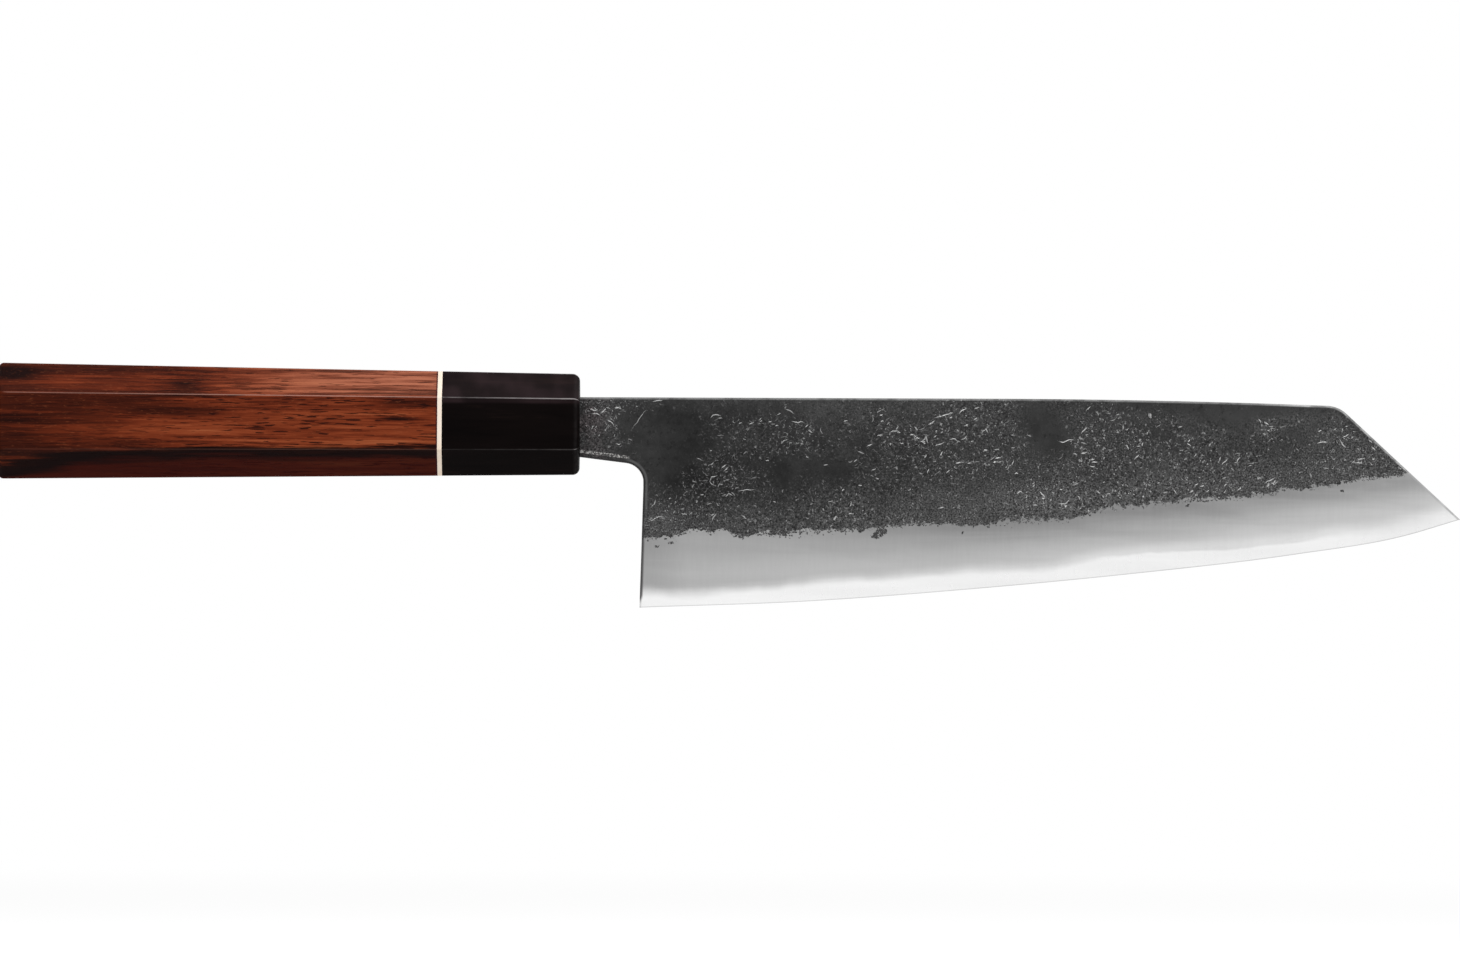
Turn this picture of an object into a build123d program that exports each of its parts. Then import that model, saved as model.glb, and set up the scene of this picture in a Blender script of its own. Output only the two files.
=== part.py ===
from build123d import *
import os
from math import cos, pi, sin

os.makedirs("parts", exist_ok=True)

# A kiritsuke kitchen knife, in millimetres. The origin is the middle of the ferrule's
# front face, +X runs along the handle's axis towards the tip, and +Z towards the spine.
# The knife's right face looks towards -Y. A drop is a distance below the handle's axis,
# and a rise is one above it.

# Driving dimensions of the handle
handle_length = 127.2
butt_height = 25.4
butt_thickness = 22.5
butt_facet_leg = 6.45
front_height = 22.1
ferrule_length = 30.0
spacer_length = 1.0
crease_round = 0.8
butt_round = 0.6
ferrule_front_round = 0.75

# Driving dimensions of the neck and the blade's outline
neck_length = 13.4
neck_drop = 7.15
neck_end_drop = 8.4
choil_reach = 3.8
choil_fall = 4.2
blade_length = 180.0
heel_lean = 0.7
heel_drop = 40.1
tip_drop = 19.6
spine_rise = 6.0
spine_crest_rise = 6.25
spine_corner_rise = 5.1
point_run = 26.9
point_corner_round = 6.5

# Driving dimensions of the blade's section
neck_thickness = 3.4
tip_thickness = 1.3
flat_thinning = 0.25
bevel_width_at_heel = 15.3
edge_land = 0.12
core_thickness = 0.9
core_tip_thickness = 0.34
spine_round = 0.4
neck_under_round = 0.9

# Driving dimensions of the tang and of what holds it
tang_length = 95.0
tang_seat_depth = 4.0
tang_seat_relief = 0.3
tang_height = 9.0
tang_end_height = 5.0
tang_end_thickness = 2.2
tang_end_round = 2.0
mouth_wall = 6.0
mouth_gap = 0.35
bedding_recess = 0.5
dowel_diameter = 13.6
dowel_length = 62.0
dowel_slot_height = 9.8
dowel_slot_width = 4.0
glue_gap = 0.1
tail_bore_diameter = 7.6
tail_bore_spare = 3.0

# One overrun serves every cut
overrun = 5.0

# Where the spine leaves its straight run, from the ferrule to the spine's corner
spine_crest_share = 0.55

# The ground bevel at places along the blade: how far from heel to tip, then how far the
# edge and the bevel's top have climbed, as shares of the climb of the edge
grind_shares = (
    (0.0, 0.0, 0.0),
    (0.2, 0.076, 0.075),
    (0.4, 0.217, 0.166),
    (0.6, 0.395, 0.361),
    (0.8, 0.615, 0.571),
    (0.93, 0.815, 0.776),
    (1.0, 1.0, 0.94),
)
# How far the grinding cut runs on past the bevel's top and past the edge, in bevel widths
grind_over_share = 0.25

# Places worked out from the sizes
butt_x = -handle_length
ferrule_back_x = -ferrule_length
spacer_back_x = ferrule_back_x - spacer_length
dowel_front_x = -mouth_wall
dowel_back_x = dowel_front_x - dowel_length
tang_seat_x = -tang_seat_depth
tang_end_x = -tang_length
tail_bore_end_x = tang_end_x - tail_bore_spare
heel_x = neck_length
choil_x = heel_x + heel_lean
tip_x = heel_x + blade_length
spine_corner_x = tip_x - point_run
spine_crest_x = spine_crest_share * spine_corner_x
neck_end_x = choil_x - choil_reach
choil_drop = neck_end_drop + choil_fall
edge_climb = heel_drop - tip_drop
bevel_top_drop = heel_drop - bevel_width_at_heel

# Slopes of the tapered faces
facet_taper = (butt_height - front_height) / 2 / handle_length
flat_taper = (neck_thickness - tip_thickness) / 2 / tip_x
flat_lean = flat_thinning / (spine_rise + bevel_top_drop)
core_taper = (core_thickness - core_tip_thickness) / 2 / tip_x

right, left = -1, 1
eighth_turn = pi / 4


def cross_plane(x):
    """Plane across the knife at x, whose own axes are the knife's Y and Z."""
    return Plane(origin=(x, 0, 0), x_dir=(0, 1, 0), z_dir=(1, 0, 0))


def flank_y(x, z):
    """Half thickness of the unground blade at x and z."""
    return neck_thickness / 2 - flat_taper * x - flat_lean * (spine_rise - z)


def side_plane(side, x, half_thickness, taper, lean):
    """Plane that faces out to one side, half the thickness from the middle.

    It passes through the spine's level at x. From there it comes in by the taper for each
    unit towards the tip, and by the lean for each unit down.
    """
    return Plane(origin=(x, side * half_thickness, spine_rise), z_dir=(taper, side, -lean))


def core_plane(side):
    """Plane between the core and the cladding of one side."""
    return side_plane(side, 0, core_thickness / 2, core_taper, 0)


def grind_place(length_share, edge_share, top_share):
    """Give x, the edge's z and the bevel top's z at one place along the blade."""
    return (
        heel_x + length_share * blade_length,
        edge_share * edge_climb - heel_drop,
        top_share * edge_climb - bevel_top_drop,
    )


places = [grind_place(*shares) for shares in grind_shares]


def grind_section(x, edge_z, top_z):
    """Section, at one place, of what the grinding takes off the left flank."""
    edge = Vector(edge_land / 2, edge_z)
    top = Vector(flank_y(x, top_z), top_z)
    low = edge + (edge - top) * grind_over_share
    high = top + (top - edge) * grind_over_share
    with BuildSketch(cross_plane(x)) as section:
        with BuildLine():
            Polyline(low, high, (neck_thickness, high.Y), (neck_thickness, low.Y), close=True)
        make_face()
    return section.sketch


# The whole handle as one tapered octagon, which its pieces are trimmed from
corner_reach = (butt_thickness / 2 + butt_height / 2 - butt_facet_leg) * cos(eighth_turn)
facet_reaches = (butt_thickness / 2, corner_reach, butt_height / 2, corner_reach)
with BuildPart() as handle_form:
    with BuildSketch(cross_plane(butt_x)):
        Rectangle(butt_thickness, butt_height)
    extrude(amount=handle_length)
    for facet in range(8):
        reach = facet_reaches[facet % 4]
        across, up = cos(facet * eighth_turn), sin(facet * eighth_turn)
        facet_plane = Plane(
            origin=(butt_x, reach * across, reach * up), z_dir=(facet_taper, across, up)
        )
        split(bisect_by=facet_plane, keep=Keep.BOTTOM)
    long_edges = [
        edge for edge in handle_form.edges() if edge.bounding_box().size.X > handle_length / 2
    ]
    fillet(long_edges, crease_round)
    fillet(handle_form.faces().sort_by(Axis.X)[0].edges(), butt_round)
    fillet(handle_form.faces().sort_by(Axis.X)[-1].edges(), ferrule_front_round)

# What the grinding takes off both flanks: it starts behind the heel and runs on past the tip
behind_heel = (heel_x - overrun, *places[0][1:])
past_tip = [last + (last - before) for last, before in zip(places[-1], places[-2])]
with BuildPart() as grind_waste:
    loft([grind_section(*place) for place in (behind_heel, *places, past_tip)])
    mirror(about=Plane.XZ)

# The tang, set in from the neck all round, stepped down at its seat and tapered to its end
with BuildPart() as tang_form:
    seat_rise, seat_drop = spine_rise - tang_seat_relief, neck_drop - tang_seat_relief
    with BuildSketch(Plane.XZ.offset(-neck_thickness)) as tang_outline:
        with BuildLine():
            Polyline(
                (0, seat_rise),
                (tang_seat_x, seat_rise),
                (tang_seat_x, tang_height / 2),
                (tang_end_x, tang_end_height / 2),
                (tang_end_x, -tang_end_height / 2),
                (tang_seat_x, -tang_height / 2),
                (tang_seat_x, -seat_drop),
                (0, -seat_drop),
                close=True,
            )
        make_face()
        fillet(tang_outline.vertices().sort_by(Axis.X)[:2], tang_end_round)
    extrude(amount=2 * neck_thickness)
    seat_half = flank_y(0, -neck_drop) - tang_seat_relief
    tang_taper = (seat_half - tang_end_thickness / 2) / tang_length
    for side in (right, left):
        split(bisect_by=side_plane(side, 0, seat_half, -tang_taper, 0), keep=Keep.BOTTOM)

# The whole blade with its neck and tang, which its three layers are parted from
with BuildPart() as blade_form:
    with BuildSketch(Plane.XZ.offset(-neck_thickness)) as outline:
        with BuildLine():
            straight_spine = Line((0, spine_rise), (spine_crest_x, spine_crest_rise))
            falling_spine = TangentArc(
                straight_spine @ 1, (spine_corner_x, spine_corner_rise), tangent=straight_spine % 1
            )
            Line(falling_spine @ 1, (tip_x, -tip_drop))
            Spline([(x, edge_z) for x, edge_z, top_z in places])
            Line((heel_x, -heel_drop), (choil_x, -choil_drop))
            neck_under = Line((0, -neck_drop), (neck_end_x, -neck_end_drop))
            TangentArc(neck_under @ 1, (choil_x, -choil_drop), tangent=neck_under % 1)
            Line(neck_under @ 0, straight_spine @ 0)
        make_face()
        spine_corner = outline.vertices().sort_by_distance(falling_spine @ 1)[0]
        fillet(spine_corner, point_corner_round)
    extrude(amount=2 * neck_thickness)
    for side in (right, left):
        split(bisect_by=side_plane(side, 0, neck_thickness / 2, flat_taper, flat_lean), keep=Keep.BOTTOM)
    for line, radius in ((straight_spine, spine_round), (neck_under, neck_under_round)):
        middle = line @ 0.5
        both_sides = blade_form.edges().sort_by_distance((middle.X, 0, middle.Y))[:2]
        fillet(both_sides, radius)
    add(grind_waste.part, mode=Mode.SUBTRACT)
    add(tang_form.part)

# The room that the tang lies in: mouth, dowel slot and tail bore
with BuildPart() as tang_room:
    with BuildSketch(cross_plane(0)):
        with Locations((0, (spine_rise - neck_drop) / 2)):
            Rectangle(neck_thickness + 2 * mouth_gap, spine_rise + neck_drop + 2 * mouth_gap)
    extrude(amount=-mouth_wall)
    with BuildSketch(cross_plane(dowel_front_x)):
        Rectangle(dowel_slot_width, dowel_slot_height)
    extrude(amount=-dowel_length)
    with BuildSketch(cross_plane(dowel_back_x)):
        Circle(tail_bore_diameter / 2)
    extrude(amount=tail_bore_end_x - dowel_back_x)

# The bore through spacer, grip and ferrule that the dowel is glued into
with BuildPart() as dowel_room:
    with BuildSketch(cross_plane(dowel_front_x)):
        Circle(dowel_diameter / 2 + glue_gap)
    extrude(amount=-dowel_length)

# Hard core of the blade, which comes out bare along the edge
with BuildPart() as core_steel:
    add(blade_form.part)
    for side in (right, left):
        split(bisect_by=core_plane(side), keep=Keep.BOTTOM)

# Soft iron forged to the core's right face
with BuildPart() as cladding_right:
    add(blade_form.part)
    split(bisect_by=core_plane(right), keep=Keep.TOP)

# Soft iron forged to the core's left face
with BuildPart() as cladding_left:
    add(blade_form.part)
    split(bisect_by=core_plane(left), keep=Keep.TOP)

# Rosewood grip, bored for the dowel and the tang's tail
with BuildPart() as handle_body:
    add(handle_form.part)
    split(bisect_by=cross_plane(spacer_back_x), keep=Keep.BOTTOM)
    add([dowel_room.part, tang_room.part], mode=Mode.SUBTRACT)

# Pale ring between the grip and the ferrule
with BuildPart() as spacer:
    add(handle_form.part)
    split(bisect_by=cross_plane(spacer_back_x), keep=Keep.TOP)
    split(bisect_by=cross_plane(ferrule_back_x), keep=Keep.BOTTOM)
    add(dowel_room.part, mode=Mode.SUBTRACT)

# Horn ferrule, bored from behind, with the neck's mouth in its front wall
with BuildPart() as ferrule:
    add(handle_form.part)
    split(bisect_by=cross_plane(ferrule_back_x), keep=Keep.TOP)
    add([dowel_room.part, tang_room.part], mode=Mode.SUBTRACT)

# Pale wooden dowel that joins grip, spacer and ferrule
with BuildPart() as joining_dowel:
    with BuildSketch(cross_plane(dowel_front_x)):
        Circle(dowel_diameter / 2)
    extrude(amount=-dowel_length)
    add(tang_room.part, mode=Mode.SUBTRACT)

# Hard bedding that fills the room round the tang, a little short of the mouth
with BuildPart() as tang_bedding:
    add(tang_room.part)
    split(bisect_by=cross_plane(-bedding_recess), keep=Keep.BOTTOM)
    add(tang_form.part, mode=Mode.SUBTRACT)

pieces = {
    "core_steel": core_steel,
    "cladding_right": cladding_right,
    "cladding_left": cladding_left,
    "handle_body": handle_body,
    "spacer": spacer,
    "ferrule": ferrule,
    "joining_dowel": joining_dowel,
    "tang_bedding": tang_bedding,
}
for name, piece in pieces.items():
    piece.part.label = name
    export_step(piece.part, f"parts/{name}.step")
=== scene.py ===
from math import hypot, pi, radians

import bmesh
import bpy
import numpy as np
from mathutils import Matrix, Vector


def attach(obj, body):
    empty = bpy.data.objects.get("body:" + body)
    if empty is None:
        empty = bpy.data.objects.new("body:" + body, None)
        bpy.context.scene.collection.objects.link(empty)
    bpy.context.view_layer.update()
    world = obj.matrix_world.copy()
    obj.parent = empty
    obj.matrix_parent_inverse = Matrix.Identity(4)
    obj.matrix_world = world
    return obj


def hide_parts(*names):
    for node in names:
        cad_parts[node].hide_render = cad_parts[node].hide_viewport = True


# A kiritsuke kitchen knife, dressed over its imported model. Shapes are worked out in
# millimetres and written to the meshes in metres. X runs along the handle's axis to the tip,
# Z to the spine, and the right face looks towards -Y.
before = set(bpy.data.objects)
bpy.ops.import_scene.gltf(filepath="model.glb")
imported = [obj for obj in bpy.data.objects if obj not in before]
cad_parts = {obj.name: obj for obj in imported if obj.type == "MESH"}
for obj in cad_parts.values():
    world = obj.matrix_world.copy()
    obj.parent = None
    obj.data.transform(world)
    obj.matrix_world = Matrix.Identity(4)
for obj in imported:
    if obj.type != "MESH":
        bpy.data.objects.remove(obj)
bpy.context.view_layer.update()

MM = 0.001

# Handle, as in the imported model
HANDLE_LENGTH, FERRULE_LENGTH, SPACER_LENGTH = 127.2, 30.0, 1.0
BUTT_HEIGHT, BUTT_THICKNESS, BUTT_FACET_LEG, FRONT_HEIGHT = 25.4, 22.5, 6.45, 22.1
CREASE_ROUND, BUTT_ROUND, FERRULE_ROUND, JOINT_ROUND = 0.5, 1.1, 1.5, 0.04
DOWEL_BORE, TAIL_BORE, TAIL_END = 6.9, 3.8, 98.0
MOUTH_WALL, MOUTH_GAP, MOUTH_CHAMFER, DOWEL_END = 6.0, 0.35, 0.12, 68.0

# Blade outline and section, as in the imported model
NECK_DROP, NECK_END, NECK_END_DROP = 7.15, 10.3, 8.4
CHOIL_X, CHOIL_DROP, HEEL_X, HEEL_DROP = 14.1, 12.6, 13.4, 40.1
TIP_X, TIP_DROP = 193.4, 19.6
SPINE_RISE, SPINE_CREST_X, SPINE_CREST_RISE = 6.0, 91.575, 6.25
SPINE_CORNER_X, SPINE_CORNER_RISE, POINT_ROUND = 166.5, 5.1, 6.5
NECK_THICKNESS, TIP_THICKNESS, FLAT_THINNING, BEVEL_TOP_DROP = 3.4, 1.3, 0.25, 24.8
EDGE_LAND, CORE_THICKNESS, CORE_TIP_THICKNESS = 0.12, 0.9, 0.34
SPINE_ROUND, UNDER_ROUND = 0.4, 0.9
TANG_END, TANG_END_HALF, TANG_SEAT, TANG_HALF = 95.0, 2.5, 4.0, 4.5
TANG_RELIEF, TANG_END_THICKNESS = 0.3, 2.2
JOINT_X = -FERRULE_LENGTH - SPACER_LENGTH

# The edge and the bevel's top at places along the blade
GRIND_X = HEEL_X + (TIP_X - HEEL_X) * np.array([0, 0.2, 0.4, 0.6, 0.8, 0.93, 1.0])
EDGE_CLIMB = HEEL_DROP - TIP_DROP
EDGE_Z = EDGE_CLIMB * np.array([0, 0.076, 0.217, 0.395, 0.615, 0.815, 1.0]) - HEEL_DROP
BEVEL_TOP_Z = EDGE_CLIMB * np.array([0, 0.075, 0.166, 0.361, 0.571, 0.776, 0.94]) - BEVEL_TOP_DROP

FLAT_TAPER = (NECK_THICKNESS - TIP_THICKNESS) / 2 / TIP_X
FLAT_LEAN = FLAT_THINNING / (SPINE_RISE + BEVEL_TOP_DROP)
CORE_TAPER = (CORE_THICKNESS - CORE_TIP_THICKNESS) / 2 / TIP_X
FACET_TAPER = (BUTT_HEIGHT - FRONT_HEIGHT) / 2 / HANDLE_LENGTH

# Hammer swells as (depth, length) and the seed of each side's, the easing between flank and
# bevel, and a distance that stands for out of reach
SWELLS, FORGE_SEED = ((0.018, 9.0), (0.014, 2.6)), {-1: 3, 1: 7}
EASE, FAR = 0.03, 9.0


# ---- lines and curves


def smooth_through(x, knots_x, knots_z):
    """Height at x of a curve through knots: on each stretch a cubic that has the knots' heights
    and, at both ends, the slope that the neighbouring knots give."""
    slopes = np.gradient(knots_z, knots_x)
    cell = np.clip(np.searchsorted(knots_x, x) - 1, 0, len(knots_x) - 2)
    width = knots_x[cell + 1] - knots_x[cell]
    t = (x - knots_x[cell]) / width
    return (
        (2 * t**3 - 3 * t**2 + 1) * knots_z[cell]
        + (t**3 - 2 * t**2 + t) * width * slopes[cell]
        + (3 * t**2 - 2 * t**3) * knots_z[cell + 1]
        + (t**3 - t**2) * width * slopes[cell + 1]
    )


def arc_from(start, heading, end):
    """Centre, radius and end angles of the arc that leaves start along heading and reaches end.
    The radius is the chord squared over twice the chord's part across the heading."""
    start, chord = np.array(start, float), np.array(end, float) - start
    heading = unit(heading)
    radius = chord @ chord / (2 * chord @ left_of(heading))
    centre = start + radius * left_of(heading)
    first = np.arctan2(*(start - centre)[::-1])
    swept = 2 * np.arctan2(chord @ left_of(heading), chord @ heading)
    return centre, abs(radius), first, first + swept


def between(a, b, share):
    """Points at shares of the straight line from a to b."""
    return np.asarray(a, float) + np.asarray(share)[..., None] * (np.asarray(b, float) - a)


def unit(way):
    """Ways brought to length one."""
    way = np.asarray(way, float)
    return way / np.hypot(way[..., 0], way[..., 1])[..., None]


def left_of(way):
    """Ways turned a quarter to the left."""
    return np.stack([-way[..., 1], way[..., 0]], axis=-1)


def ways(angle):
    """Ways of length one at angles."""
    return np.stack([np.cos(angle), np.sin(angle)], axis=-1)


def run_along(path):
    """Distance along a path of straight pieces at each of its points."""
    return np.r_[0, np.cumsum(np.hypot(*np.diff(path, axis=0).T))]


def at_run(path, run, stops):
    """Points of the path at distances along it."""
    return np.column_stack([np.interp(stops, run, path[:, k]) for k in (0, 1)])


# ---- the blade's outline, seen from the side, as (x, z)

SPINE_SLOPE = (SPINE_CREST_RISE - SPINE_RISE) / SPINE_CREST_X
FALL_RUN = SPINE_CORNER_X - SPINE_CREST_X
SPINE_FALL = (SPINE_CREST_RISE + SPINE_SLOPE * FALL_RUN - SPINE_CORNER_RISE) / FALL_RUN**2
SPINE_CORNER, TIP = np.array([SPINE_CORNER_X, SPINE_CORNER_RISE]), np.array([TIP_X, -TIP_DROP])
NECK_FOOT, CHOIL_FOOT = np.array([NECK_END, -NECK_END_DROP]), np.array([CHOIL_X, -CHOIL_DROP])
HEEL = np.array([HEEL_X, -HEEL_DROP])
SPINE_WAY = unit((1.0, SPINE_SLOPE - 2 * SPINE_FALL * FALL_RUN))
POINT_WAY, HEEL_WAY = unit(TIP - SPINE_CORNER), unit(HEEL - CHOIL_FOOT)
NECK_WAY, POINT_IN = unit(NECK_FOOT + (0, NECK_DROP)), -left_of(POINT_WAY)
CHOIL_CENTRE, CHOIL_RADIUS, CHOIL_FROM, CHOIL_TO = arc_from(NECK_FOOT, NECK_WAY, CHOIL_FOOT)
half_turn = np.arccos(SPINE_WAY @ POINT_WAY) / 2
corner_cut = POINT_ROUND * np.tan(half_turn)
CORNER_CENTRE, CORNER_RADIUS, CORNER_FROM, CORNER_TO = arc_from(
    SPINE_CORNER - corner_cut * SPINE_WAY, SPINE_WAY, SPINE_CORNER + corner_cut * POINT_WAY
)


def spine_z(x):
    """Spine: a straight rise to its crest, then a parabola that leaves it at the same slope."""
    past = np.maximum(x - SPINE_CREST_X, 0)
    return SPINE_RISE + SPINE_SLOPE * x - SPINE_FALL * past**2


def edge_z(x):
    return smooth_through(x, GRIND_X, EDGE_Z)


def bevel_top_z(x):
    return smooth_through(x, GRIND_X, BEVEL_TOP_Z)


def flank_half(x, z):
    """Half thickness before grinding: it falls evenly towards the tip and towards the edge."""
    return NECK_THICKNESS / 2 - FLAT_TAPER * x - FLAT_LEAN * (SPINE_RISE - z)


def core_half(x):
    return CORE_THICKNESS / 2 - CORE_TAPER * x


def bevel_half(x, z):
    """Half thickness of the ground bevel: a straight line from the edge's land to the flank."""
    low, top = edge_z(x), bevel_top_z(x)
    return EDGE_LAND / 2 + (flank_half(x, top) - EDGE_LAND / 2) * (z - low) / (top - low)


def core_line_z(x):
    """Where the bevel is as thin as the core."""
    low, top = edge_z(x), bevel_top_z(x)
    climb = (core_half(x) - EDGE_LAND / 2) / (flank_half(x, top) - EDGE_LAND / 2)
    return low + climb * (top - low)


def gap_in_sector(points, centre, radius, start_way, end_way, sign):
    """Distance from an arc, and where it counts: between the arc's two end directions."""
    arm = points - centre
    inside = (arm @ start_way > 0) & (arm @ end_way < 0)
    return sign * (radius - np.hypot(arm[..., 0], arm[..., 1])), inside


def top_gap(points):
    """How far points lie in from the spine, its rounded corner and the point line."""
    spine = spine_z(points[..., 0]) - points[..., 1]
    point = (points - SPINE_CORNER) @ POINT_IN
    arc, inside = gap_in_sector(points, CORNER_CENTRE, CORNER_RADIUS, SPINE_WAY, POINT_WAY, 1)
    return np.where(inside, arc, np.minimum(spine, point))


def under_gap(points):
    """How far points lie in from the neck's underside, the choil and the heel's face."""
    neck = (points - NECK_FOOT) @ left_of(NECK_WAY)
    heel = (points - CHOIL_FOOT) @ left_of(HEEL_WAY)
    arc, inside = gap_in_sector(points, CHOIL_CENTRE, CHOIL_RADIUS, NECK_WAY, HEEL_WAY, -1)
    behind = (points - CHOIL_CENTRE) @ NECK_WAY <= 0
    return np.where(inside, arc, np.where(behind, neck, heel))


def rim_gap(points):
    """How far points lie in from the nearest of all these rims."""
    return np.minimum(top_gap(points), under_gap(points))


def rounding(gap, radius):
    """What a rounded rim takes off the half thickness: the sagitta of a quarter circle."""
    into = radius - np.clip(gap, 0, radius)
    return radius - np.sqrt(radius**2 - into**2)


def waves(x, z, size, seed, count=28):
    """Even, unrepeating swell from -1 to 1: a mean of cosines whose lengths are near size and
    whose headings and starts are drawn from the seed."""
    draw = np.random.default_rng(seed)
    heading, start = draw.uniform(0, 2 * pi, (2, count))
    length = size * draw.uniform(0.7, 1.5, count)
    total = np.zeros(np.shape(x))
    for (cosine, sine), first, long in zip(ways(heading), start, length):
        total += np.cos((x * cosine + z * sine) * 2 * pi / long + first)
    return total / count**0.5 / 1.6


def forged_half(points, seed):
    """Half thickness of the finished blade: the flank less its rounded rims and less the swell
    that the hammer left, cut by the bevel. The corner between flank and bevel is eased: half of
    the sum less the root of the squared difference and a small constant."""
    x, z = points[..., 0], points[..., 1]
    swell = sum(depth * (1 + waves(x, z, size, seed + k)) for k, (depth, size) in enumerate(SWELLS))
    swell = swell * np.clip(rim_gap(points) / 2.0, 0.25, 1)
    flank = flank_half(x, z) - rounding(top_gap(points), SPINE_ROUND)
    flank = flank - rounding(under_gap(points), UNDER_ROUND) - np.clip(swell, 0, None)
    bevel = bevel_half(np.clip(x, HEEL_X, TIP_X), z) + np.where(x < HEEL_X, FAR, 0.0)
    eased = 0.5 * (flank + bevel - np.sqrt((flank - bevel) ** 2 + EASE**2)) + 0.004
    return np.maximum(np.minimum(eased, np.minimum(flank, bevel)), EDGE_LAND / 4)


# ---- the blade's grid: columns run from the lower outline to the spine

NECK_COLUMNS, CHOIL_COLUMNS, HEEL_COLUMNS, EDGE_COLUMNS = 26, 20, 64, 440
EDGE_START = NECK_COLUMNS + CHOIL_COLUMNS + HEEL_COLUMNS
SPINE_KNOTS = (0, 10, 13, 30)
RIM_STEPS = np.array([0, 0.03, 0.08, 0.15, 0.24, 0.36, 0.52, 0.72, 0.95])
neck_share, choil_share, heel_share = (
    np.linspace(0, 1, n, endpoint=False) for n in (NECK_COLUMNS, CHOIL_COLUMNS, HEEL_COLUMNS)
)
edge_share = np.linspace(0, 1, EDGE_COLUMNS)


def lower_points(line, end_x, inset):
    """Lower side of the grid, an inset in from the outline: the neck's underside, the choil's
    arc, the heel's face, and then a line over x to end_x. The inset may differ by column."""
    inset = np.broadcast_to(inset, (EDGE_START + EDGE_COLUMNS,))
    starts = np.cumsum([NECK_COLUMNS, CHOIL_COLUMNS, HEEL_COLUMNS])
    neck, choil, heel, edge = np.split(inset, starts)
    along_neck = between((0, -NECK_DROP), NECK_FOOT, neck_share) + neck[:, None] * left_of(NECK_WAY)
    angle = CHOIL_FROM + (CHOIL_TO - CHOIL_FROM) * choil_share
    round_choil = CHOIL_CENTRE + (CHOIL_RADIUS + choil)[:, None] * ways(angle)
    foot_x = HEEL_X + (line(HEEL_X) + HEEL_DROP) / (HEEL_DROP - CHOIL_DROP) * (CHOIL_X - HEEL_X)
    foot = np.array([foot_x, line(foot_x)]) + heel[-1]
    down_heel = between(CHOIL_FOOT + (heel[0], 0), foot, heel_share)
    edge_x = foot[0] + (end_x - foot[0]) * edge_share
    along_edge = np.column_stack([edge_x, line(edge_x) + edge])
    return np.concatenate([along_neck, round_choil, down_heel, along_edge])


def upper_points(end, inset):
    """Upper side of the grid, an inset in from the outline: the spine, its rounded corner and
    the point line to the end, shared out over the same columns."""
    x = np.linspace(0, CORNER_CENTRE[0] + CORNER_RADIUS * np.cos(CORNER_FROM), 900)
    corner = CORNER_CENTRE + CORNER_RADIUS * ways(np.linspace(CORNER_FROM, CORNER_TO, 60))
    path = np.concatenate([np.column_stack([x, spine_z(x)]), corner[1:], [end]])
    run = run_along(path)
    knots, shares = (*SPINE_KNOTS, run[-1]), (neck_share, choil_share, heel_share, edge_share)
    stops = [a + (b - a) * share for a, b, share in zip(knots, knots[1:], shares)]
    stops = np.concatenate(stops)
    way = unit(at_run(path, run, stops + 0.2) - at_run(path, run, stops - 0.2))
    return at_run(path, run, stops) - np.broadcast_to(inset, stops.shape)[:, None] * left_of(way)


def point_line_z(x):
    return SPINE_CORNER[1] + (x - SPINE_CORNER[0]) * POINT_WAY[1] / POINT_WAY[0]


def blade_grid(line, rows, gather):
    """Grid of points over the blade's side, from a lower line to the outline. Near the rims the
    rows keep a fixed inset; between them a row lies at a share of each straight column, and the
    shares gather towards the lower line by a power."""
    x = np.linspace(SPINE_CORNER_X, TIP_X, 4000)
    end_x = x[np.argmin(np.abs(line(x) - point_line_z(x)))]
    end = np.array([end_x, point_line_z(end_x)])
    height = np.hypot(*(upper_points(end, 0) - lower_points(line, end_x, 0)).T)
    tight = np.minimum(1, height / (4 * RIM_STEPS[-1]))
    low = np.stack([lower_points(line, end_x, step * tight) for step in RIM_STEPS])
    high = np.stack([upper_points(end, step * tight) for step in RIM_STEPS[::-1]])
    low[:, height < 1e-6] = high[:, height < 1e-6] = end
    shares = np.linspace(0, 1, rows + 2)[1:-1, None, None] ** gather
    middle = low[-1] + shares * (high[0] - low[-1])
    return np.concatenate([low, middle, high]).swapaxes(0, 1)


def tang_columns(rows):
    """Columns of the tang, from its end to the neck: a rounded end, a tapered bar, then its
    taller seat."""
    x = np.array([-TANG_END, -TANG_END + 0.7, -TANG_END + 2.0, -TANG_SEAT, -TANG_SEAT, 0.0])
    top = np.array([0.5, 1.9, TANG_END_HALF, TANG_HALF, *[SPINE_RISE - TANG_RELIEF] * 2])
    foot = np.r_[-top[:4], [TANG_RELIEF - NECK_DROP] * 2]
    z = foot[:, None] + (top - foot)[:, None] * np.linspace(0, 1, rows)
    seat_half = flank_half(0, -NECK_DROP) - TANG_RELIEF
    half = seat_half + (seat_half - TANG_END_THICKNESS / 2) / TANG_END * x
    return np.stack([np.broadcast_to(x[:, None], z.shape), z], axis=-1), half


# ---- meshes


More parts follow.
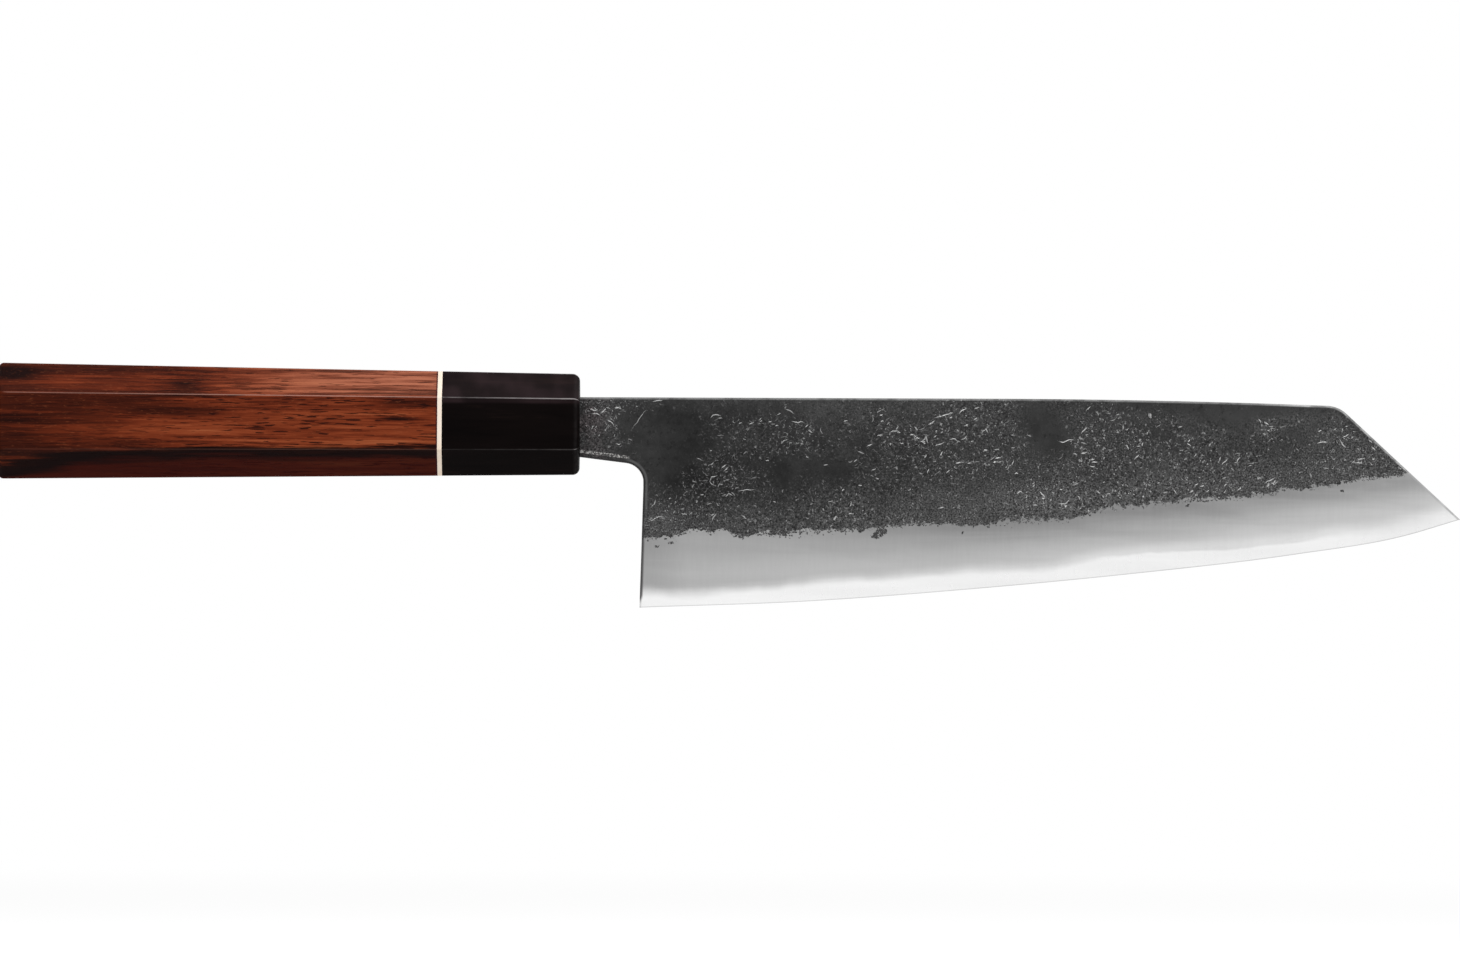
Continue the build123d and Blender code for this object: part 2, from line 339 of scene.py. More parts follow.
def skin(name, rings, finish, stored, node=None, sharp=35, merge=2e-6):
    """A piece whose surface runs through rings of points, each ring a loop with as many points
    as the next. A quad joins each two neighbours on one ring to the two beside them on the
    next. A single run of rings is closed with a face at both ends; in a set of runs each closes
    to a point. Doubles merge, faces turn outwards, and only edges past an angle stay sharp. The
    stored numbers, one to a point, are for the finish to read."""
    index = np.arange(rings[..., 0].size).reshape(rings.shape[:-1])
    here, there = index[..., :-1, :], index[..., 1:, :]
    quads = np.stack([here, there, np.roll(there, -1, -1), np.roll(here, -1, -1)], axis=-1)
    faces = quads.reshape(-1, 4).tolist()
    if index.ndim == 2:
        faces += [index[0].tolist(), index[-1][::-1].tolist()]
    mesh = bpy.data.meshes.new(name)
    mesh.from_pydata((rings.reshape(-1, 3) * MM).tolist(), [], faces)
    for key, values in stored.items():
        layer = mesh.attributes.new(key, "FLOAT", "POINT")
        layer.data.foreach_set("value", np.asarray(values, np.float32).ravel())
    shape = bmesh.new()
    shape.from_mesh(mesh)
    bmesh.ops.remove_doubles(shape, verts=shape.verts, dist=merge)
    bmesh.ops.dissolve_degenerate(shape, edges=shape.edges, dist=1e-7)
    bmesh.ops.recalc_face_normals(shape, faces=shape.faces)
    shape.to_mesh(mesh)
    shape.free()
    mesh.shade_smooth()
    mesh.set_sharp_from_angle(angle=radians(sharp))
    mesh.materials.append(finish)
    piece = bpy.data.objects.new(name, mesh)
    bpy.context.scene.collection.objects.link(piece)
    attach(piece, "root")
    if node:
        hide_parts(node)


# ---- node trees


def maths(operation, swapped=False):
    """Method that adds a maths node for a level and, if there is one, another term."""

    def method(self, *other):
        terms = (*other, self) if swapped else (self, *other)
        return self.nodes.put("ShaderNodeMath", enumerate(terms), operation=operation)

    return method


class Level:
    """What one socket of a node tree gives, with short calls for the nodes that work on it."""

    def __init__(self, nodes, socket):
        self.nodes, self.socket = nodes, socket

    __add__, __radd__ = maths("ADD"), maths("ADD", swapped=True)
    __sub__, __rsub__ = maths("SUBTRACT"), maths("SUBTRACT", swapped=True)
    __mul__, __gt__, __abs__ = maths("MULTIPLY"), maths("GREATER_THAN"), maths("ABSOLUTE")
    at_least, at_most = maths("MAXIMUM"), maths("MINIMUM")

    def ramp(self, low, high, to_low=0, to_high=1):
        """Smooth step from one level to another as this one goes from low to high."""
        ends = enumerate((self, low, high, to_low, to_high))
        return self.nodes.put("ShaderNodeMapRange", ends, interpolation_type="SMOOTHSTEP")

    def spread(self, to_low, to_high):
        """Smooth step over the middle range, which is where a noise mostly stays."""
        return self.ramp(0.3, 0.7, to_low, to_high)

    def noise(self, size, detail=2, rough=0.5, twist=0):
        """Soft noise from 0 to 1 at this place, its features about as long as the size."""
        looks = {"Scale": 1 / size, "Detail": detail, "Roughness": rough, "Distortion": twist}
        return self.nodes.put("ShaderNodeTexNoise", {"Vector": self, **looks})

    def shades(self, *stops):
        """Colour along a band of stops, each a place from 0 to 1 and a colour."""
        node = self.nodes.node("ShaderNodeValToRGB", {"Fac": self})
        band = node.color_ramp.elements
        while len(band) < len(stops):
            band.new(1.0)
        for entry, (at, colour) in zip(band, stops):
            entry.position, entry.color = at, (*colour, 1)
        return Level(self.nodes, node.outputs[0])

    def grey(self):
        """This level as a colour."""
        return self.nodes.put("ShaderNodeCombineColor", {0: self, 1: self, 2: self})

    def parts(self):
        """The three parts of a place."""
        node = self.nodes.node("ShaderNodeSeparateXYZ", {0: self})
        return [Level(self.nodes, socket) for socket in node.outputs]


class Nodes:
    """A node tree that nodes are put into."""

    def __init__(self, tree):
        self.tree = tree

    def node(self, kind, inputs=(), **settings):
        """A node with its settings made and its inputs fed, by name or number."""
        node = self.tree.nodes.new(kind)
        for key, value in settings.items():
            setattr(node, key, value)
        for key, value in dict(inputs).items():
            self.feed(node.inputs[key], value)
        return node

    def put(self, kind, inputs=(), output=0, **settings):
        """What one output of such a node gives."""
        return Level(self, self.node(kind, inputs, **settings).outputs[output])

    def feed(self, socket, value):
        """Link a level to a socket, or set a plain value on it; a colour gets its alpha."""
        if isinstance(value, Level):
            self.tree.links.new(value.socket, socket)
        else:
            socket.default_value = (*value, 1) if socket.type == "RGBA" else value


class Finish(Nodes):
    """A material, with what the knife's finishes are made of."""

    def __init__(self, name):
        self.material = bpy.data.materials.new(name)
        self.material.use_nodes = True
        super().__init__(self.material.node_tree)
        self.place = self.put("ShaderNodeTexCoord", output="Object")

    def placed(self, *scale, turn=(0, 0, 0), shift=(0, 0, 0)):
        """Object coordinates, turned, shifted and scaled by three numbers, or by one number that
        counts for all three; 1000 makes millimetres."""
        change = {"Scale": scale * (3 // len(scale)), "Rotation": turn, "Location": shift}
        return self.put("ShaderNodeMapping", {"Vector": self.place, **change})

    def stored(self, key):
        """What the mesh stores under the key."""
        return self.put("ShaderNodeAttribute", output="Fac", attribute_name=key)

    def blend(self, share, a, b, kind="MIX"):
        """Colour that goes from a to b with the share."""
        inputs = {0: share, 6: a, 7: b}
        return self.put("ShaderNodeMix", inputs, 2, data_type="RGBA", blend_type=kind)

    def bump(self, height, depth, before=None):
        """Relief of a height from 0 to 1 over a depth in metres, laid over an earlier one."""
        inputs = {"Height": height, "Distance": depth, "Strength": 1}
        if before:
            inputs["Normal"] = before
        return self.put("ShaderNodeBump", inputs)

    def finish(self, colour, rough, normal, gloss=0.5, metal=0):
        """The material, with its shader's inputs fed."""
        shader = self.tree.nodes["Principled BSDF"]
        keys = ("Base Color", "Roughness", "Normal", "Specular IOR Level", "Metallic")
        for key, value in zip(keys, (colour, rough, normal, gloss, metal)):
            self.feed(shader.inputs[key], value)
        return self.material


def blade_finish(name):
    """Forge scale above the grind line, satin iron below it, and bright core along the edge. The
    left face takes its patterns from another place than the right."""
    f = Finish(name)
    x, y, z = f.placed(1000).parts()
    on_left = y > 0
    shift = f.put("ShaderNodeCombineXYZ", {0: on_left * 37, 2: on_left * 61})
    spot = f.placed(1000, shift=shift)
    grind, core, rim, under = map(f.stored, ("grind_rise", "core_rise", "rim_gap", "under_gap"))
    calm, haze, scab = map(f.stored, ("calm_patch", "pale_patch", "scab"))

    # Ragged border of the scale: broad lobes, small teeth, and crumbs left below it
    lobes = spot.noise(10, 2, 0.6).ramp(0.25, 0.75, -0.7, 0.7)
    teeth = spot.noise(1.3, 4, 0.75).ramp(0.25, 0.75, -0.9, 0.9)
    crumb_bed = spot.noise(0.62, 2, 0.6)
    scab = scab * (1 + teeth * 0.5 + crumb_bed.spread(-0.6, 0.6))
    crumbs = (crumb_bed - grind.ramp(-2.2, 0, 0.82, 0.55)).ramp(0, 0.03)
    scale = (grind + lobes + teeth).ramp(-0.10, 0.12)
    scale = scale.at_least(scab.ramp(0.46, 0.54)).at_least(crumbs)

    # Scale: calm dark places, and crusted ones full of grains, glint specks and short raised hooks,
    # all lit as painted highlights, with painted shadow beside the hooks and painted shade in the
    # pits
    swell = spot.noise(7, 3, 0.6, 0.5)
    crust = swell.ramp(0.36, 0.62, 0.12, 0.50) + grind.ramp(0, 9, 0.3, 0) + calm * -0.9
    crust = (crust + f.stored("crust_patch") * 0.75).at_most(1.2).at_least(0.06)
    # Grains and glint specks: painted highlights on the crust's small bumps
    grain = spot.noise(0.50, 2, 0.7).ramp(0.50, 0.74)
    dust = spot.noise(0.34, 1, 0.6)
    dusty = grind.ramp(0, 16, 0.65, 0) + x.ramp(40, 110, 0.35, 0.75) + calm * -0.8
    patchy = swell.ramp(0.36, 0.58, x.ramp(90, 130, 0.8, 0.45), 1.1)
    dusty = ((dusty + x.ramp(12, 2, 0, 0.6)) * patchy).at_least(0.06).at_most(1.05)
    glint_specks = spot.noise(0.62, 1, 0.6, 0.6).ramp(0.62, 0.74)
    # Hooks: thin raised lines lit as painted highlights, with painted shadow beside them
    off_hook = abs(spot.noise(1.5, 1, 0.5, 1) - 0.5)
    hooked = spot.noise(1.5, 2, 0.6, 0.3).ramp(0.54, 0.62) * crust.ramp(0.25, 0.7)
    hook = off_hook.ramp(0, 0.026, 1, 0) * hooked
    hook_shadow = off_hook.ramp(0.03, 0.08, 0.5, 0) * hooked
    # Pits: small hollows darkened as painted shade
    pits = spot.noise(1.15, 3, 0.7).ramp(0.56, 0.68)
    mottle = spot.noise(3.4, 4, 0.65)
    level = (
        x.ramp(10, 110, 0.018, 0.034)
        + x.ramp(16, 4, 0, 0.020)
        + mottle.spread(-0.005, 0.006)
        + grind.ramp(0, 10, 0.021, 0)
        + haze * 0.024
        + calm * -0.006
        + grain * crust * 0.055
        + glint_specks * crust * x.ramp(80, 130, 0.17, 0.21)
        + hook * x.ramp(80, 130, 0.24, 0.34)
    )
    # Painted shadow beside the hooks darkens the level
    level = level * (1 + dusty * dust.ramp(0.28, 0.72, -0.68, 0.92)) * (1 - hook_shadow * (1 - hook))
    # Painted shade in the pits
    level = level.at_least(0.006) * pits.ramp(0, 1, 1, 0.62)
    rust = x.ramp(9, 1) * spot.noise(3.4, 3, 0.6).ramp(0.30, 0.62)
    tint = f.blend(rust, (1, 1, 1), (1.03, 0.90, 0.92))
    scale_colour = f.blend(1, tint, level.grey(), "MULTIPLY")

    # Ground bevel: satin grey that lightens from the border to the core line, lengthwise polish
    # streaks and the faintest upright stone marks
    marks = f.placed(1900, 1900, 130, shift=shift).noise(1, 3, 0.6)
    polish = f.placed(30, 300, 300, shift=shift).noise(1, 3, 0.55, 0.4)
    from_core = core + spot.noise(12, 3, 0.55).spread(-0.30, 0.30)
    share = f.stored("bevel_share")
    low_tone, top_tone = x.ramp(12, 135, 0.385, 0.50), x.ramp(20, 95, 0.33, 0.245)
    tone = (
        share.ramp(x.ramp(60, 100, 0.15, 0), 1, low_tone, top_tone)
        + x.ramp(26, 15, 0, -0.055)
        + from_core.ramp(0, x.ramp(60, 150, 2.2, 3.2), x.ramp(30, 150, 0.10, 0.14), 0)
        + marks.spread(-0.006, 0.006)
        + polish.spread(-0.026, 0.026) * x.ramp(40, 140, 0.45, 1)
        + x.ramp(120, 175, 0, 0.04)
    )

    # Bare core: its line is soft by the heel and the tip, and crisper between
    soft = spot.noise(26, 1, 0.5).ramp(0.42, 0.60, 0.45, 1).at_least(x.ramp(95, 65, 0, 1.1))
    soft = soft.at_most(x.ramp(100, 125, 1, 0.32))
    soft = soft.at_least(x.ramp(150, 182, 0, 1.6) + x.ramp(48, 26, 0, 1.5))
    bare_core = from_core.ramp(soft, soft * -1.1)
    core_tone = f.stored("edge_rise").ramp(0.02, 0.30, 0.52, x.ramp(100, 140, 0.77, 0.80))
    core_tone = core_tone + polish.spread(-0.02, 0.02)
    tone = (1 - bare_core) * tone + bare_core * core_tone
    colour = f.blend(scale, tone.grey(), scale_colour)

    # Rims: a thin worn line along spine and point, a beaded band under the neck, and painted shade
    # as a dark line round the choil and down the heel, with a painted highlight as a paler band
    # beside it
    worn = rim.ramp(0.58, 0.28) * spot.noise(3, 3, 0.6).ramp(0.3, 0.6, 0.4, 1)
    worn = worn * (under - rim).ramp(0, 0.2) * x.ramp(148, 158, 0.35, 0.9)
    colour = f.blend(worn, colour, (0.40, 0.40, 0.40))
    below_neck = x.ramp(11.5, 9.5)
    beads = spot.noise(0.50, 1, 0.6).ramp(0.46, 0.62, 0.06, 1)
    band = under.ramp(0.90, 1.10) * under.ramp(1.75, 1.50) * below_neck
    colour = f.blend(band * beads, colour, (0.46, 0.45, 0.44))
    # Painted highlight: a paler band beside the rounded rim of the choil and heel
    beside = under.ramp(0.35, 0.55) * under.ramp(1.15, 0.8) * z.ramp(-22.6, -15.6)
    colour = f.blend(beside * (0.55 - below_neck * 0.55), colour, (0.13, 0.13, 0.13))
    # Painted shade: a dark line along the rounded rim round the choil and down the heel
    line = under.ramp(0.52, 0.22, 0, 0.88) * z.ramp(-39.4, -37.8, 0.3, 1)
    colour = f.blend(line, colour, (0.024, 0.023, 0.023))
    # Painted shade along the heel's rounded rim on the bevel
    heel_line = under.ramp(0.80, 0.42) * z.ramp(-22, -27) * z.ramp(-38.6, -37.2)
    colour = f.blend(heel_line * 0.80, colour, (0.070, 0.069, 0.069))

    relief = grain * 0.35 + glint_specks * 0.8 + hook * 0.9 + pits * -0.5 + dusty * dust * 0.5
    relief = relief * crust + mottle * 0.6
    normal = f.bump(relief * scale, 0.00008)
    normal = f.bump(marks * (1 - scale), 0.0000015, normal)
    normal = f.bump(scale, 0.00003, normal)
    rough = scale * 0.22 + marks.spread(0.31, 0.36) + bare_core * -0.04
    return f.finish(colour, rough, normal, gloss=0.2, metal=scale.ramp(0, 1, 1, 0.6))


def raised_scale():
    """Raised flakes of the scale: dark feet as painted shadow, and crests in broken stretches
    painted pale as a highlight by what is stored on them, less near the heel."""
    f = Finish("raised_scale_painted_light")
    spot = f.placed(1000)
    broken = spot.noise(0.8, 2, 0.6).ramp(0.34, 0.50, 0.45, 1)
    off_heel = abs(spot.parts()[0] - 31)
    # Painted highlight on the crests, in broken stretches; painted shadow at the dark feet
    tone = f.stored("painted_crest_shine").ramp(0, 1, 0.07, 0.52) * broken * off_heel.ramp(15, 26, 0.7, 1)
    colour = f.blend(f.stored("crest").ramp(0.45, 0.8), (0.010, 0.010, 0.010), tone.grey())
    pitted = spot.noise(0.3, 2, 0.6)
    return f.finish(colour, pitted.spread(0.42, 0.60), f.bump(pitted, 0.00002), 0.2, metal=0.6)


def rosewood():
    """Polished rosewood: broad bands, long streaks, short dark dashes, a near-black heart layer,
    and painted shade on the lower facets below it."""
    f = Finish("rosewood_polish")
    x, y, z = f.placed(1000).parts()
    lie = (0, radians(-2.2), 0)
    bands = f.placed(14, 300, 420, turn=lie).noise(1, 2, 0.5, 0.4)
    streaks = f.placed(42, 1000, 1300, turn=lie).noise(1, 4, 0.6)
    fibres = f.placed(130, 3200, 4000, turn=lie).noise(1, 3, 0.6)
    dash_bed = f.placed(230, 2600, 3000, turn=(0, radians(-3.4), 0)).noise(1, 1, 0.5)
    crowd = f.placed(45, 260, 300, turn=lie).noise(1, 2, 0.5)
    dashes = (dash_bed - crowd.ramp(0.36, 0.60, 0.645, 0.575)).ramp(0, 0.035)
    specks = f.placed(700, 4200, 4200, turn=lie).noise(1, 2, 0.5).ramp(0.60, 0.72)

    butt = x.ramp(-62, -126)
    on_top = z.ramp(5.6, 6.6)
    tone = (
        bands.spread(-0.12, 0.12)
        + streaks.spread(-0.14, 0.14) * butt.ramp(0.1, 0.8, 1, 0.35) * on_top.ramp(0, 1, 1, 1.5)
        + fibres.spread(-0.085, 0.085) * butt.ramp(0.1, 0.8, 1, 0.55)
        + butt * -0.23
        + on_top * x.ramp(-98, -60, -0.03, 0)
        + f.stored("figure")
        + 0.57
    )
    colour = tone.shades(
        (0.10, (0.010, 0.003, 0.0025)),
        (0.30, (0.052, 0.0095, 0.0045)),
        (0.48, (0.135, 0.0225, 0.0080)),
        (0.66, (0.230, 0.0450, 0.0155)),
        (0.90, (0.340, 0.0900, 0.0340)),
    )
    colour = f.blend(specks * 0.22, colour, (0.36, 0.10, 0.040))

    # Paler, pinker wood on the top facets towards the spacer
    paler = on_top * x.ramp(-88, -36) * tone.ramp(0.36, 0.72, 0.15, 0.64)
    colour = f.blend(paler, colour, (0.50, 0.185, 0.110))
    dark = dashes * on_top.ramp(0, 1, 0.85, 0.6) * butt.ramp(0.1, 0.8, 1, 0.5)
    colour = f.blend(dark, colour, (0.012, 0.003, 0.003))

    # Heart layer that climbs from the butt and then follows the lower crease; painted shade below
    sway = f.placed(34, 240, 240).noise(1, 2, 0.5).spread(-0.8, 0.8)
    below = z - (x.ramp(-130, -94, -9.9, -6.4) + x.ramp(-94, -70, 0, 0.5) + sway)
    ragged = below + streaks.spread(-0.5, 0.5)
    # Painted shade: the lower facets below the heart layer's line are darkened
    colour = f.blend(below.ramp(0.2, -0.9) * 0.86, colour, (0.030, 0.0030, 0.0022))
    layer = ragged.ramp(1.6, 0.4) * ragged.ramp(-3, -1)
    colour = f.blend(layer * 0.96, colour, (0.005, 0.002, 0.002))

    # Dark glue line where the wood meets the spacer, and a painted highlight along the creases
    glue = x.ramp(JOINT_X - 0.45, JOINT_X - 0.15)
    colour = f.blend(glue * 0.75, colour, (0.030, 0.006, 0.012))
    # Painted highlight along the creases, stronger towards the spacer
    painted_shine = f.stored("painted_highlight") * x.ramp(-127, -40, 0.40, 0.90)
    colour = f.blend(painted_shine, colour, (0.46, 0.24, 0.19))

    rough = streaks.spread(0.46, 0.54) + dashes * 0.15
    return f.finish(colour, rough, f.bump(dashes * -1 + fibres * 0.2, 0.00003), 0.024)


def black_horn():
    """Polished near-black horn with the faintest brown streaks along it, a faint mottled painted
    sheen on its top facets, and a painted grey highlight along its creases and round its front
    edge."""
    f = Finish("black_horn_polish")
    spot = f.placed(1000)
    x, y, z = spot.parts()
    colour = f.placed(70, 700, 700).noise(1.6, 4, 0.6, 0.4).shades(
        (0.30, (0.0020, 0.0013, 0.0013)),
        (0.60, (0.0038, 0.0024, 0.0023)),
        (0.80, (0.0120, 0.0066, 0.0056)),
    )
    # Painted sheen on the top facets, mottled by a noise
    cloud = spot.noise(7, 2, 0.5).ramp(0.35, 0.65, 0.03, 0.085)
    colour = f.blend(z.ramp(4.2, 4.9) * cloud, colour, (0.20, 0.12, 0.135))
    # Painted grey highlight along the creases and round the front edge, in broken stretches
    broken = f.placed(300, 900, 900).noise(1, 3, 0.6).ramp(0.30, 0.62, 0.45, 1)
    forward = x.ramp(-26, -4, 0.5, 1.3) + x.ramp(-5.2, -3.6, 0, 0.8)
    colour = f.blend(f.stored("painted_highlight") * broken * forward, colour, (0.27, 0.25, 0.25))
    fine = f.placed(900, 2500, 2500).noise(1, 3, 0.6)
    return f.finish(colour, fine.spread(0.40, 0.48), f.bump(fine, 0.000002), 0.018)


def pale_ring():
    """Cream spacer with a soft cloudiness and fine turning marks."""
    f = Finish("pale_ring_satin")
    cloud = f.placed(700, 500, 500).noise(1.8, 3, 0.5)
    colour = f.blend(cloud.spread(0, 1), (0.93, 0.77, 0.62), (0.96, 0.84, 0.72))
    marks = f.placed(4000, 600, 600).noise(1, 2, 0.5)
    return f.finish(colour, marks.spread(0.38, 0.48), f.bump(marks, 0.000004), 0.3)


def unseen_finish(name, scale, size, detail, dark, pale, rough, depth):
    """Plain stuff inside the handle: one noise gives its colour, roughness and relief."""
    f = Finish(name)
    grain = f.placed(*scale).noise(size, detail, 0.6)
    colour = grain.shades((0.3, dark), (0.7, pale))
    return f.finish(colour, grain.spread(*rough), f.bump(grain, depth))


# ---- the blade's three layers


def set_out(points, half, side):
    """Points of the side view set out at half a thickness to one side of the middle plane."""
    return np.stack([points[..., 0], side * half, points[..., 1]], axis=-1)


# Calm dark places, pale places, and shifts of the scale's border, each as (x, z, half width,
# half height, strength); the left face has its own, drawn from a seed
CALM_RIGHT = (
    (19.4, -3.3, 6.5, 10, 1), (45.3, -12.3, 2, 7, 0.5), (103.3, -2.5, 5.5, 4.5, 1),
    (100.6, 2.5, 3.5, 3.5, 0.6), (142, 4.6, 24, 1.8, 0.9), (142.8, 2.8, 7, 2.6, 0.8),
    (56, -10.3, 4, 3, 0.4), (45, -9.5, 8, 3.5, 0.3), (127, -1.5, 3.5, 2, 0.7),
    (156.5, -1.1, 2.6, 2.2, 0.6), (10, 1, 2.5, 3, 0.8),
)
PALE_RIGHT = (
    (52, 3.5, 4, 2.5, 0.8), (76, 4.2, 7, 2, 0.5), (19, -21.3, 5, 4, 0.8), (34, -21, 6, 3.5, 0.2),
    (98, -15, 15, 4, 0.6), (77, -14.5, 7, 4, 0.3), (128, -9.5, 7, 2.5, 0.5), (60, 3, 5, 3, 0.4),
    (16, -6, 4, 14, 0.55), (28, -13.5, 8, 5, -0.35), (38, 5.4, 34, 2, 0.45),
    (71, -8, 7, 5, -0.35), (150, 2.8, 17, 2.6, 0.6), (163, -2, 8, 5, 0.45),
)
BORDER_RIGHT = (
    (25.6, -24, 2.4, 1.6, -1.9), (31.6, -24, 1.8, 1.7, -2.2), (90, -20.5, 2.5, 1.5, 0.8),
    (71, -23, 10, 3, -0.9), (80, -22, 9, 3, -0.4), (122, -17, 13, 4, -0.5),
    (178, -9.5, 7, 3, 0.6), (46, -24, 3, 1.2, 0.6), (104.5, -18.5, 6.5, 3.5, 0.9),
    (110, -17.5, 2.6, 3, 0.5),
)
SCABS_RIGHT = (
    (66.5, -23.1, 1.2, 0.9, 1.1), (65.1, -24.1, 1.2, 0.7, 1), (20.4, -25.9, 0.9, 0.4, 0.9),
    (84.2, -23.1, 0.5, 0.45, 1), (133.6, -16.8, 0.5, 0.5, 1), (167.5, -13.6, 0.55, 0.4, 1),
    (91.5, -21.6, 0.4, 0.3, 0.9), (17.2, -26.6, 0.9, 0.3, 0.8),
)


# Beds of small flakes on the right face, each as (x, z, half length, half height, flakes), and
# beds drawn from a seed on the left face
FLAKE_BEDS_RIGHT = np.array([
    (66.8, -1.2, 3.2, 4, 34), (74.1, -1.8, 2.4, 3.1, 30), (84.4, 0.6, 4.6, 3.8, 36),
    (91.9, -8.5, 8.8, 1.5, 46), (109.2, -5.1, 4.4, 2.9, 26), (102.3, -15.3, 6, 1.9, 16),
    (93.4, 0.5, 5.4, 5.8, 28), (112.9, 2.4, 4.6, 2.6, 16), (134.7, -5.2, 3.3, 2.4, 22),
    (142.4, -7.5, 3, 2, 16), (151.1, -0.7, 2.4, 2.9, 14), (167.9, -2.8, 7, 2.6, 50),
    (151.4, -11.4, 1.6, 1.2, 9), (5, 1.8, 5.5, 4.2, 70), (31.3, -13.8, 8, 6, 60),
    (41.8, 0.8, 7.5, 1, 12), (46, -3.8, 6.4, 2.2, 16), (55.3, -16.7, 6.8, 4, 28),
    (16.5, 4.6, 4.5, 0.9, 10), (123.1, -2.6, 6, 6, 22), (108.9, -12.6, 8, 3, 28),
    (138.5, -12.8, 9, 2.6, 28), (172.6, -7.4, 7, 1.8, 20), (18.9, -17.6, 4.5, 3, 10),
    (76, -9, 6, 4, 18),
])
WHOLE_FACE = np.array([(92.0, -8.0, 95.0, 13.0, 240)])
bed_draw = np.random.default_rng(26)
BED_ENDS = ((4, 172), (-20, 4), (2, 8), (1.5, 5), (14, 40))
FLAKE_BEDS_LEFT = np.column_stack([bed_draw.uniform(low, high, 28) for low, high in BED_ENDS])


def soft_hills(x, z, hills):
    """Sum of round hills: each is its strength times e to the minus squared distance from its
    middle, counted in its half width and half height."""
    total = np.zeros(np.shape(x))
    for mid_x, mid_z, half_x, half_z, strength in hills:
        total += strength * np.exp(-(((x - mid_x) / half_x) ** 2) - ((z - mid_z) / half_z) ** 2)
    return total


def drawn_hills(seed, count, z_low, z_high, half_x, half_z, strength):
    """Hills for the left face, with places and sizes drawn from the seed."""
    draw = np.random.default_rng(seed)
    ends = ((8.0, 160.0), (z_low, z_high), (0.5, 1.4), (0.6, 1.3), (0.5, 1.0))
    drawn = np.column_stack([draw.uniform(low, high, count) for low, high in ends])
    return drawn * (1, 1, half_x, half_z, strength)


# How far the bare core's line stands over the even one at places along the blade
CORE_WAVE_X = np.array(
    [13.4, 26, 40, 50, 64, 81, 97, 105, 112, 121, 130, 139, 147, 156, 166, 176, 193.4]
)
CORE_WAVES_RIGHT = np.array(
    [-1, -1.6, -0.9, -0.5, -0.1, -0.1, -0.7, -1, 0, 0.15, 0.1, -0.5, -1, -1.2, -0.7, -1, -1.2]
)


def crust_hills(beds):
    """Hills of crust, a third wider than the beds of flakes that lie on them."""
    return np.column_stack([beds[:, :2], beds[:, 2:4] * 4 / 3, np.ones(len(beds))])


def scale_places(x, z, side):
    """Crust, calm, pale, border and scab hills of one face, and the waves of its core line."""
    if side < 0:
        sets = (crust_hills(FLAKE_BEDS_RIGHT), CALM_RIGHT, PALE_RIGHT, BORDER_RIGHT, SCABS_RIGHT)
        waves_up = CORE_WAVES_RIGHT
    else:
        sets = (
            crust_hills(FLAKE_BEDS_LEFT),
            drawn_hills(21, 9, -12.0, 5.0, 6.0, 4.0, 1.0),
            drawn_hills(22, 8, -18.0, 4.0, 8.0, 3.5, 0.8),
            drawn_hills(23, 6, -24.0, -12.0, 2.5, 1.6, -2.0),
            drawn_hills(24, 2, -25.0, -22.0, 0.9, 0.7, 1.0),
        )
        waves_up = np.random.default_rng(25).uniform(-0.7, 0.7, len(CORE_WAVE_X))
    at = np.clip(x, HEEL_X, TIP_X)
    return [soft_hills(x, z, hills) for hills in sets] + [smooth_through(at, CORE_WAVE_X, waves_up)]


def stored_rises(rings):
    """What the finishes read at each point, in millimetres: its height over the bevel's top,
    over the core line and over the edge, how far it lies in from the rims, its share of the way
    up the bevel, and the places of the scale's patches on its own face."""
    x, y, z = np.moveaxis(rings, 2, 0)
    at = np.clip(x, HEEL_X, TIP_X)
    flat = rings[..., [0, 2]]
    away = np.where(x < 0, FAR, 0.0)
    faces = zip(scale_places(x, z, -1), scale_places(x, z, 1))
    crust, calm, pale, shift, scab, wave = (np.where(y < 0, right, left) for right, left in faces)
    low, top = core_line_z(at), bevel_top_z(at)
    return {
        "grind_rise": z - top + shift,
        "core_rise": z - low - wave,
        "edge_rise": z - edge_z(at),
        "bevel_share": (z - low) / (top - low),
        "rim_gap": rim_gap(flat) + away,
        "under_gap": under_gap(flat) + away,
        "crust_patch": np.minimum(crust, 1.2),
        "calm_patch": calm,
        "pale_patch": pale,
        "scab": scab,
    }


def cladding(name, node, side, finish):
    """One iron layer. Its outer side stands at the blade's half thickness and its inner side at
    the core's; each ring goes up the outer side and back down the inner one."""
    grid = blade_grid(core_line_z, rows=84, gather=1.0)
    tang, tang_half = tang_columns(grid.shape[1])
    inner = core_half(grid[..., 0])
    outer = np.maximum(forged_half(grid, FORGE_SEED[side]), inner)
    outer[EDGE_START:, 0] = inner[EDGE_START:, 0]
    points = np.concatenate([tang, grid])
    outer = np.concatenate([np.broadcast_to(tang_half[:, None], tang.shape[:2]), outer])
    ends = points[:, [-1, 0]]
    inside = set_out(ends, core_half(ends[..., 0]), side)
    rings = np.concatenate([set_out(points, outer, side), inside], axis=1)
    skin(name, rings, finish, stored_rises(rings), node, sharp=50)


def core(name, node, finish):
    """The hard core plate: both sides stand at the core's half thickness, or at the bevel's
    where that is less. Each ring goes up the right side and down the left."""
    grid = blade_grid(edge_z, rows=44, gather=2.0)
    tang, _ = tang_columns(grid.shape[1])
    half = np.minimum(forged_half(grid, 11), core_half(grid[..., 0]))
    points = np.concatenate([tang, grid])
    half = np.concatenate([core_half(tang[..., 0]), half])
    left = set_out(points[:, ::-1], half[:, ::-1], 1)
    rings = np.concatenate([set_out(points, half, -1), left], axis=1)
    skin(name, rings, finish, stored_rises(rings), node, sharp=50)


# ---- raised flakes on the scale

